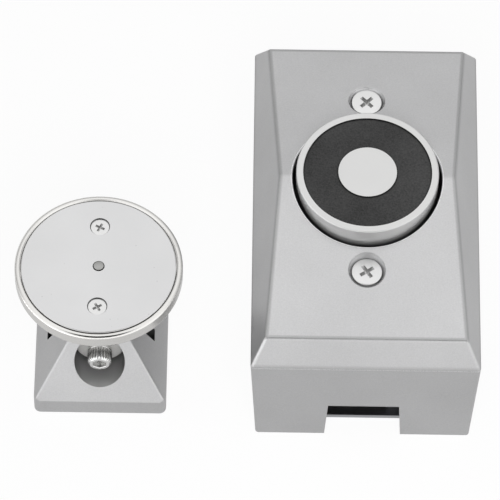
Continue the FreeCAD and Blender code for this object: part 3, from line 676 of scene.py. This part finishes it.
# Painted shade on the walls of the strike plate's holes.
paint_shade_where("satin_steel", hole_shade_share, walls_below, armature_axis, hole_reach, hole_top)
# Painted shade on the pot's walls beside the resin.
paint_shade_where("pole_steel", gap_shade_share, walls_below, magnet_axis, gap_shade_reach, gap_shade_top)
# Painted shade on the pot's walls below the roof, in the gap round the magnet.
paint_shade_where("pole_steel", roof_gap_shade_share, below_roof, roof_fall, roof_gap_shade_fade)
print("dark below", round(hole_top / mm, 2), "mm in the plate,", round(gap_shade_top / mm, 2), "in the pot")

# %% [markdown]
# ## Plastics
#
# The bobbin, the terminal block and the wire insulation inside are moulded plastic, with a slow
# cloud in the colour and a fine grain in the gloss, so one function and four colours are enough.

# %% Plastics
plastic_tones = (0.88, 1.12)


def plastic_finish(slot, colour, rough, depth, grain=0.4 * mm):
    """Moulded plastic: a slow cloud in its colour and a fine grain in its gloss."""
    tree, shader = start_finish(slot, colour, 0.0, rough[0])
    effect = use_effect(tree, grain_group, object_vector(tree), Size=grain)
    clouded = tones(tree, effect["Cloud"], colour, *plastic_tones)
    feed(tree, shader, clouded, effect["Grain"], depth, rough)


plastic_finish("bobbin_plastic", (0.82, 0.80, 0.74), (0.40, 0.50), 5 * micron)
plastic_finish("terminal_plastic", (0.10, 0.10, 0.11), (0.40, 0.55), 8 * micron)
plastic_finish("red_insulation", (0.55, 0.04, 0.04), (0.30, 0.40), 4 * micron)
plastic_finish("black_insulation", (0.03, 0.03, 0.03), (0.30, 0.40), 4 * micron)
print("plastics done")

# %% [markdown]
# ## Potting resin
#
# The gap between the poles is filled with black potting resin, poured level and left matt. Its
# filler settles unevenly, so it has a mottle: the grain and the cloud, mixed and stretched. Next to
# the steel, where the resin lies lower than the poles, it gets a band of painted shade, which the
# distance from the axis gives.

# %% Potting resin
resin = (0.044, 0.044, 0.044)
resin_gloss, resin_shine = (0.5, 0.7), 0.35
resin_grain, resin_depth = 0.5 * mm, 10 * micron
mottle_mix, mottle_low, mottle_high = 0.5, 0.3, 0.7
resin_tones, resin_edge_shade_tone = (0.3, 1.7), 0.05
resin_shade_width = 0.6 * mm
core_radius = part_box("magnet_core")[1].x

shine = {"Specular IOR Level": resin_shine}
tree, shader = start_finish("black_resin", resin, 0.0, resin_gloss[0], **shine)
vector = object_vector(tree)
spot = axes_of(tree, vector)
effect = use_effect(tree, grain_group, vector, Size=resin_grain)
from_axis = axis_distance(tree, spot["X"], spot["Y"])
# A band of painted shade next to the ring and the core.
near_ring = ramp(tree, from_axis, resin_rim - resin_shade_width, resin_rim)
near_core = ramp(tree, from_axis, core_radius + resin_shade_width, core_radius)
edge = math_node(tree, "MAXIMUM", near_ring, near_core)
mottle = mix_value(tree, mottle_mix, effect["Cloud"], effect["Grain"])
poured = tones(tree, ramp(tree, mottle, mottle_low, mottle_high), resin, *resin_tones)
resin_edge_shaded = mix_colour(tree, edge, poured, shade(resin, resin_edge_shade_tone))
feed(tree, shader, resin_edge_shaded, effect["Grain"], resin_depth, resin_gloss)
print("resin between radii", round(core_radius / mm, 2), "and", round(resin_rim / mm, 2), "mm")

# %% [markdown]
# ## The copper winding
#
# The coil is copper wire under clear enamel. Its turns lie side by side along the bobbin's axis, so
# they are bands that come from the height alone: a rectified sine, once for each wire. The grooves
# between the turns get painted shade.

# %% Copper winding
wire_pitch = 0.5 * mm
copper = (0.72, 0.38, 0.20)
copper_rough, groove_shade_tone, enamel = 0.3, 0.4, 0.5

tree, shader = start_finish("copper_wire", copper, 1.0, copper_rough, **{"Coat Weight": enamel})
height = axes_of(tree, object_vector(tree))["Z"]
half_turn = math_node(tree, "MULTIPLY", math_node(tree, "DIVIDE", height, wire_pitch), math.pi)
wave = math_node(tree, "ABSOLUTE", math_node(tree, "SINE", half_turn))
feed(tree, shader, tones(tree, wave, copper, groove_shade_tone, 1.0), wave, wire_pitch / 2)
print("winding of", round(wire_pitch / mm, 2), "mm wire")

# %% [markdown]
# ## Skins of stations
#
# A screw could be turned with a Spin modifier, but its best parts aren't round: a knurled head, a
# hexagon socket, a cross recess. So a piece is described as a row of stations along its axis. A
# station is a closed outline, given as a radius for every angle, at a height for every angle.
# Joining each station to the next makes one closed skin, walked from the tip of the screw, over its
# head and down into its recess.


# %% Skin helpers
def column_angles(count, *corners):
    """Angles round the axis: an even count of them, plus the corners of outlines that have some."""
    even = np.linspace(0.0, 2 * np.pi, count, endpoint=False)
    return np.unique(np.round(np.concatenate([even, *corners]) % (2 * np.pi), 5))


def skin_faces(rows, columns):
    """Quads from each ring of points to the next, and a fan from each end ring to one point more."""
    index = np.arange(rows * columns).reshape(rows, columns)
    after = np.roll(index, -1, axis=1)
    quads = np.stack([index[:-1], after[:-1], after[1:], index[1:]], axis=-1).reshape(-1, 4)
    first = np.stack([after[0], index[0], np.full(columns, index.size)], axis=-1)
    last = np.stack([index[-1], after[-1], np.full(columns, index.size + 1)], axis=-1)
    return [quads, first, last]


def skin(angles, radii, heights, sunk):
    """Points, faces and sunk values of a closed skin: point = (r cos a, r sin a, h).

    radii, heights and sunk have a row for each station and a column for each angle. sunk is 1 in a
    recess and 0 outside. Both ends close on the axis with a fan."""
    rings = np.stack([radii * np.cos(angles), radii * np.sin(angles), heights], axis=-1)
    ends = [[0, 0, heights[0].mean()], [0, 0, heights[-1].mean()]]
    values = np.append(sunk, [0.0, sunk[-1].mean()])
    return np.vstack([rings.reshape(-1, 3), ends]), skin_faces(*radii.shape), values


# %% [markdown]
# ## From skins to a piece
#
# A piece may have several skins, such as two screws. Each is turned and moved to its place, so that
# the object itself stays at the origin, and they become one mesh. It rides on a body of the frame
# and may stand in for a solid. Edges sharper than a limit stay sharp.

# %% Skin piece
sharp_edge = math.radians(35)
upright = np.eye(3)


def skin_piece(name, skins, places, turn, body, slot, replaces):
    """One object of one or more skins in their places; body and replaced node may be None."""
    points, faces, count = [], [], 0
    for (local, grids, _), place in zip(skins, places):
        points.append(local @ turn.T + np.array(place))
        for grid in grids:
            faces += (grid + count).tolist()
        count += len(local)
    mesh = bpy.data.meshes.new(name)
    mesh.from_pydata(np.vstack(points).tolist(), [], faces)
    mesh.polygons.foreach_set("use_smooth", np.ones(len(mesh.polygons), bool))
    mesh.set_sharp_from_angle(angle=sharp_edge)
    mesh.materials.append(bpy.data.materials[slot])
    sunk = np.concatenate([values for _, _, values in skins]).astype(np.float32)
    mesh.attributes.new("sunk", "FLOAT", "POINT").data.foreach_set("value", sunk)
    piece = bpy.data.objects.new(name, mesh)
    bpy.context.scene.collection.objects.link(piece)
    if body:
        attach(piece, body)
    if replaces:
        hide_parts(replaces)
    print(name, "faces", len(mesh.polygons))
    return piece


# %% [markdown]
# ## Outlines: hexagon, cross and thread
#
# In polar form a hexagon is half its width over the cosine of the angle to the nearest flat. A cross
# is the lesser of two such lines: the wing's end and the wing's flank. A thread is a saw-tooth in
# the sum of height and angle, which climbs one pitch for each turn.


# %% Outlines
def hexagon(angles, across_flats):
    """Radius of a hexagon: half the width over the cosine of the angle to the nearest flat."""
    to_flat = (angles + np.pi / 6) % (np.pi / 3) - np.pi / 6
    return across_flats / 2 / np.cos(to_flat)


hexagon_corners = np.pi / 6 + np.arange(6) * np.pi / 3


def cross(angles, length, width, turn):
    """Radius of a cross: the nearer of the wing's end, L/2 over cos, and its flank, w/2 over sin."""
    from_wing = np.abs((angles - turn + np.pi / 4) % (np.pi / 2) - np.pi / 4)
    flank = width / 2 / np.maximum(np.sin(from_wing), 1e-6)
    return np.minimum(length / 2 / np.cos(from_wing), flank)


def cross_corners(length, width, turn):
    """Angles of a cross's corners: two at each wing's end, and one between each two wings."""
    tip = math.atan2(width, length)
    quarter = turn + np.arange(4) * np.pi / 2
    return np.concatenate([quarter - tip, quarter + tip, quarter + np.pi / 4])


def thread(angles, low, high, radius, depth, pitch, rows_per_pitch=8):
    """Radii and heights of a thread: a saw-tooth of the height over the pitch less the turn.

    The tooth fades out within one pitch of both ends."""
    rows = int(round((high - low) / pitch * rows_per_pitch))
    heights = np.linspace(low, high, rows)[:, None]
    tooth = np.abs(2 * ((heights / pitch - angles / (2 * np.pi)) % 1.0) - 1)
    ends = np.clip(np.minimum(heights - low, high - heights) / pitch, 0, 1)
    return radius - depth * (1 - tooth * ends), np.broadcast_to(heights, tooth.shape)


def screw_skin(angles, shank, stations):
    """Skin of a screw: the rows of its thread, then its head's stations (radius, height, sunk).

    A station's value is one number, or one for every angle."""
    rows = [[np.broadcast_to(value, angles.shape) for value in station] for station in stations]
    radii, heights, sunk = np.array(rows).transpose(1, 0, 2)
    plain = np.zeros_like(shank[0])
    parts = ([shank[0], radii], [shank[1], heights], [plain, sunk])
    return skin(angles, *[np.vstack(part) for part in parts])


# %% [markdown]
# ## The knurled cap screw
#
# Under the disc, a socket cap screw clamps the barrel. Its head has a straight knurl, a chamfered
# end and a hexagon socket. The knurl is a triangle wave in the angle and fades out at the chamfer.

# %% Cap screw
screw_low, screw_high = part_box("clamp_screw")
washer_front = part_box("clamp_lock_washer")[0].y
head_radius = (screw_high.x - screw_low.x) / 2
head_length = washer_front - screw_low.y
shank_length = screw_high.y - washer_front
shank_radius, shank_pitch = 4.83 / 2 * mm, 0.8 * mm
tooth_depth, run_out = 0.35 * mm, 0.5 * mm
knurl_count, knurl_depth = 26, 0.40 * mm
knurl_start, knurl_full, knurl_fade = 0.15 * mm, 0.4 * mm, 0.25 * mm
chamfer = 0.45 * mm
socket_flats, socket_depth, socket_cone = 3.97 * mm, 2.6 * mm, 0.6 * mm
socket_break, socket_taper, cone_tip = 0.2 * mm, 0.98, 0.15 * mm

angles = column_angles(knurl_count * 6, hexagon_corners)
wave = np.abs((angles * knurl_count / (2 * np.pi)) % 1.0 * 2 - 1)
knurled = head_radius - knurl_depth * wave
root = head_radius - knurl_depth
socket = hexagon(angles, socket_flats)
chamfer_foot = head_length - chamfer
socket_floor = head_length - socket_depth
# The third value of each station, sunk, says how much painted shade the knurl's grooves and the socket
# get.
head_stations = [
    (root, 0.0, 0.0),
    (root, knurl_start, 0.0),
    (knurled, knurl_full, wave),
    (knurled, chamfer_foot - knurl_fade, wave),
    (root, chamfer_foot, 0.0),
    (root - chamfer, head_length, 0.0),
    (socket + socket_break, head_length, 0.0),
    (socket, head_length - socket_break, 0.3),
    (socket * socket_taper, socket_floor, 0.2),
    (cone_tip, socket_floor - socket_cone, 0.1),
]
shank = thread(angles, -shank_length, -run_out, shank_radius, tooth_depth, shank_pitch)
clamp = screw_skin(angles, shank, head_stations)
towards_front = np.array([[1, 0, 0], [0, 0, -1], [0, 1, 0]])
clamp_place = ((screw_low.x + screw_high.x) / 2, washer_front, (screw_low.z + screw_high.z) / 2)
skin_piece("knurled_cap_screw", [clamp], [clamp_place], towards_front,
           "fixed", "cap_screw_steel", "clamp_screw")

# %% [markdown]
# ## The cross recess
#
# Two pan-head screws hold the cover and two countersunk screws hold the strike plate. Their heads
# differ, but both end in the same recess: a cross that narrows as it goes down, and a cone at its
# bottom. One function makes its stations, so the two screws only differ in the few before it.

# %% Cross recess
recess_taper, recess_edge, recess_floor = 0.62, 0.06 * mm, 0.8


def recess_stations(angles, length, width, turn, top, depth):
    """Stations of a cross recess: its edge, its broken corner, its narrower floor, a cone's point."""
    outline = cross(angles, length, width, turn)
    # The third values say how much painted shade each part of the recess gets.
    return [
        (outline + recess_edge, top, 0.0),
        (outline, top - recess_edge, 1.0),
        (outline * recess_taper, top - depth * recess_floor, 0.5),
        (width / 8, top - depth, 0.1),
    ]


# %% [markdown]
# ## The cover screws
#
# A pan head has a flat seat, an upright side, a rounded edge and a low crown. The edge is a quarter
# of a circle in a few steps. The two screws are turned differently, as a hand leaves them.

# %% Cover screws
screws_low, screws_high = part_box("cover_screws")
pan_radius = (screws_high.x - screws_low.x) / 2
pan_height, pan_edge, pan_crown = 2.75 * mm, 0.30 * mm, 0.12 * mm
crown_start, crown_share = 0.2 * mm, 0.8
seat_break = 0.2 * mm
cover_shank, cover_pitch, cover_run_out = 4.83 / 2 * mm, 1.06 * mm, 0.4 * mm
cover_cross = {"length": 5.0 * mm, "width": 1.2 * mm}
cover_recess_depth = 1.9 * mm
cover_turns = np.radians([34, 44])
edge_steps = np.linspace(0, np.pi / 2, 6)


def pan_screw(turn, length):
    """Pan-head screw, its seat at height 0: thread, seat, side, rounded edge, crown, recess."""
    angles = column_angles(72, cross_corners(**cover_cross, turn=turn))
    shank = thread(angles, -length, -cover_run_out, cover_shank, tooth_depth, cover_pitch, 6)
    edge_radii = pan_radius - pan_edge + pan_edge * np.cos(edge_steps)
    edge_heights = pan_height - pan_crown - pan_edge + pan_edge * np.sin(edge_steps)
    stations = [(cover_shank, 0.0, 0.0), (pan_radius - seat_break, 0.0, 0.0)]
    stations += [(pan_radius, seat_break, 0.0)]
    stations += [(radius, height, 0.0) for radius, height in zip(edge_radii, edge_heights)]
    crown_radius = pan_radius - pan_edge - crown_start
    stations += [(crown_radius, pan_height - crown_share * pan_crown, 0.0)]
    recess = {"turn": turn, "top": pan_height, "depth": cover_recess_depth, **cover_cross}
    return screw_skin(angles, shank, stations + recess_stations(angles, **recess))


seat = screws_high.z - pan_height
cover_rows = (screws_low.y + pan_radius, screws_high.y - pan_radius)
cover_places = [(0.0, y, seat) for y in cover_rows]
cover_skins = [pan_screw(turn, seat - screws_low.z) for turn in cover_turns]
skin_piece("pan_head_screws", cover_skins, cover_places, upright,
           "fixed", "nickel_screw", "cover_screws")

# %% [markdown]
# ## The draft of the screw recesses
#
# A casting leaves its die only if every pocket widens towards its mouth, so the wall round each
# cover screw slopes and catches the light. The solid has straight pockets, and a wedge ring of the
# same paint lines each. Its section has four corners: the wall's foot, the wall's top, the foot of
# the slope and the ring's own foot beside the screw's head. The top lies in the sloping roof, whose
# plane one ray from above finds beside the pocket.

# %% Recess draft
pocket_radius, pocket_play = 11.5 / 2 * mm, 0.02 * mm
head_play = 0.06 * mm
slope_foot = 1.8 * mm
probe_reach = pocket_radius + 0.6 * mm


def drafted_wall(place, probe_side):
    """Wedge ring round a screw: outer radius R up to the roof, then a slope down to the head.

    The roof's height is z0 - (n_x dx + n_y dy) / n_z, from a point and normal that a ray finds."""
    probe = Vector((place[0], place[1] + probe_side * probe_reach, 2 * cover_high.z))
    _, hit, normal, _ = bpy.data.objects["housing_cover"].ray_cast(probe, (0.0, 0.0, -1.0))
    angles = column_angles(96)
    outer = np.full_like(angles, pocket_radius - pocket_play)
    across_x = place[0] + outer * np.cos(angles) - hit.x
    across_y = place[1] + outer * np.sin(angles) - hit.y
    fall = (normal.x * across_x + normal.y * across_y) / normal.z
    roof = hit.z - fall - place[2] - pocket_play
    foot = np.full_like(angles, pocket_play)
    inner = np.full_like(angles, pan_radius + head_play)
    radii = np.stack([outer, outer, inner, inner])
    heights = np.stack([foot, roof, np.full_like(angles, slope_foot), foot])
    points = np.stack([radii * np.cos(angles), radii * np.sin(angles), heights], axis=-1)
    index = np.arange(radii.size).reshape(radii.shape)
    after = np.roll(index, -1, axis=1)
    corners = [index, after, np.roll(after, -1, axis=0), np.roll(index, -1, axis=0)]
    quads = np.stack(corners, axis=-1).reshape(-1, 4)
    return points.reshape(-1, 3), [quads], np.zeros(radii.size)


bpy.context.view_layer.update()
drafts = [drafted_wall(place, side) for place, side in zip(cover_places, (-1, 1))]
skin_piece("recess_draft", drafts, cover_places, upright, "fixed", "silver_paint", None)

# %% [markdown]
# ## The plate screws
#
# A countersunk head is a cone with a narrow rim, and it ends flush with the plate. The cone's half
# angle of 50 degrees gives its depth, and the thread starts below it.

# %% Plate screws
plate_low, plate_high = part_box("plate_screws")
flat_radius = (plate_high.x - plate_low.x) / 2
flat_shank, flat_pitch, flat_tooth, flat_run_out = 1.5 * mm, 0.5 * mm, 0.2 * mm, 0.2 * mm
flat_rim, flat_break = 0.12 * mm, 0.1 * mm
plate_cross = {"length": 3.1 * mm, "width": 0.8 * mm}
plate_recess_depth = 1.3 * mm
plate_turns = np.radians([30, 64])
sink_depth = (flat_radius - flat_shank) / math.tan(math.radians(50))


def flat_screw(turn, length):
    """Countersunk screw, its flat top at height 0: thread, cone, narrow rim, flat top, recess."""
    angles = column_angles(60, cross_corners(**plate_cross, turn=turn))
    thread_top = -sink_depth - flat_run_out
    shank = thread(angles, -length, thread_top, flat_shank, flat_tooth, flat_pitch, 6)
    stations = [(flat_shank, -sink_depth, 0.0), (flat_radius, -flat_rim, 0.0)]
    stations += [(flat_radius, -flat_break, 0.0), (flat_radius - flat_break, 0.0, 0.0)]
    recess = {"turn": turn, "top": 0.0, "depth": plate_recess_depth, **plate_cross}
    return screw_skin(angles, shank, stations + recess_stations(angles, **recess))


plate_x = (plate_low.x + plate_high.x) / 2
plate_rows = (plate_low.y + flat_radius, plate_high.y - flat_radius)
plate_places = [(plate_x, y, plate_high.z) for y in plate_rows]
plate_skins = [flat_screw(turn, plate_high.z - plate_low.z) for turn in plate_turns]
skin_piece("countersunk_screws", plate_skins, plate_places, upright,
           "disc", "nickel_screw", "plate_screws")

# %% [markdown]
# ## The threaded neck
#
# The disc stands on a threaded stud, locked by a thin nut. The stud is a thread from end to end, so
# it is the thread's stations and nothing else.

# %% Neck stud
neck_low, neck_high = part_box("neck_stud")
neck_radius = (neck_high.x - neck_low.x) / 2
neck_length = neck_high.z - neck_low.z
neck_tooth, neck_pitch = 0.3 * mm, 0.7 * mm
angles = column_angles(48)
radii, heights = thread(angles, 0.0, neck_length, neck_radius, neck_tooth, neck_pitch)
neck = skin(angles, radii, heights, np.zeros_like(radii))
neck_place = ((neck_low.x + neck_high.x) / 2, (neck_low.y + neck_high.y) / 2, neck_low.z)
skin_piece("threaded_neck", [neck], [neck_place], upright, "disc", "cap_screw_steel", "neck_stud")

# %% [markdown]
# ## The release spring
#
# Under the release pin, hidden in the disc, sits a coil spring of round wire. A Screw modifier could
# wind it, but a spring's end turns lie close, and the turns between them climb faster. So the height
# of the wire is a function of the turn, with a bend after the first turn and before the last.

# %% Release spring
spring_low, spring_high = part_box("release_spring")
wire_radius = 0.45 / 2 * mm
end_rise = 0.5 * mm
spring_turns = 5
coil_radius = (spring_high.x - spring_low.x) / 2 - wire_radius
coil_rise = spring_high.z - spring_low.z - 2 * wire_radius
bend_turns = [0, 1, spring_turns - 1, spring_turns]
bend_heights = [0, end_rise, coil_rise - end_rise, coil_rise]


def coil_spring(steps_per_turn=32, sides=12):
    """Tube on a helix: ((R + r cos s) cos t, (R + r cos s) sin t, h - r sin s).

    h runs through the bends at the end turns."""
    turn = np.linspace(0, spring_turns, spring_turns * steps_per_turn + 1)[:, None]
    around = np.linspace(0, 2 * np.pi, sides, endpoint=False)
    reach = coil_radius + wire_radius * np.cos(around)
    height = np.interp(turn, bend_turns, bend_heights) - wire_radius * np.sin(around)
    t = 2 * np.pi * turn
    rings = np.stack([reach * np.cos(t), reach * np.sin(t), height], axis=-1)
    points = np.vstack([rings.reshape(-1, 3), rings[0].mean(axis=0), rings[-1].mean(axis=0)])
    return points, skin_faces(*rings.shape[:2]), np.zeros(len(points))


spring_x, spring_y = (spring_low.x + spring_high.x) / 2, (spring_low.y + spring_high.y) / 2
spring_place = (spring_x, spring_y, spring_low.z + wire_radius)
spring = skin_piece("coil_spring", [coil_spring()], [spring_place], upright,
                    None, "spring_steel", "release_spring")
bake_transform(spring)
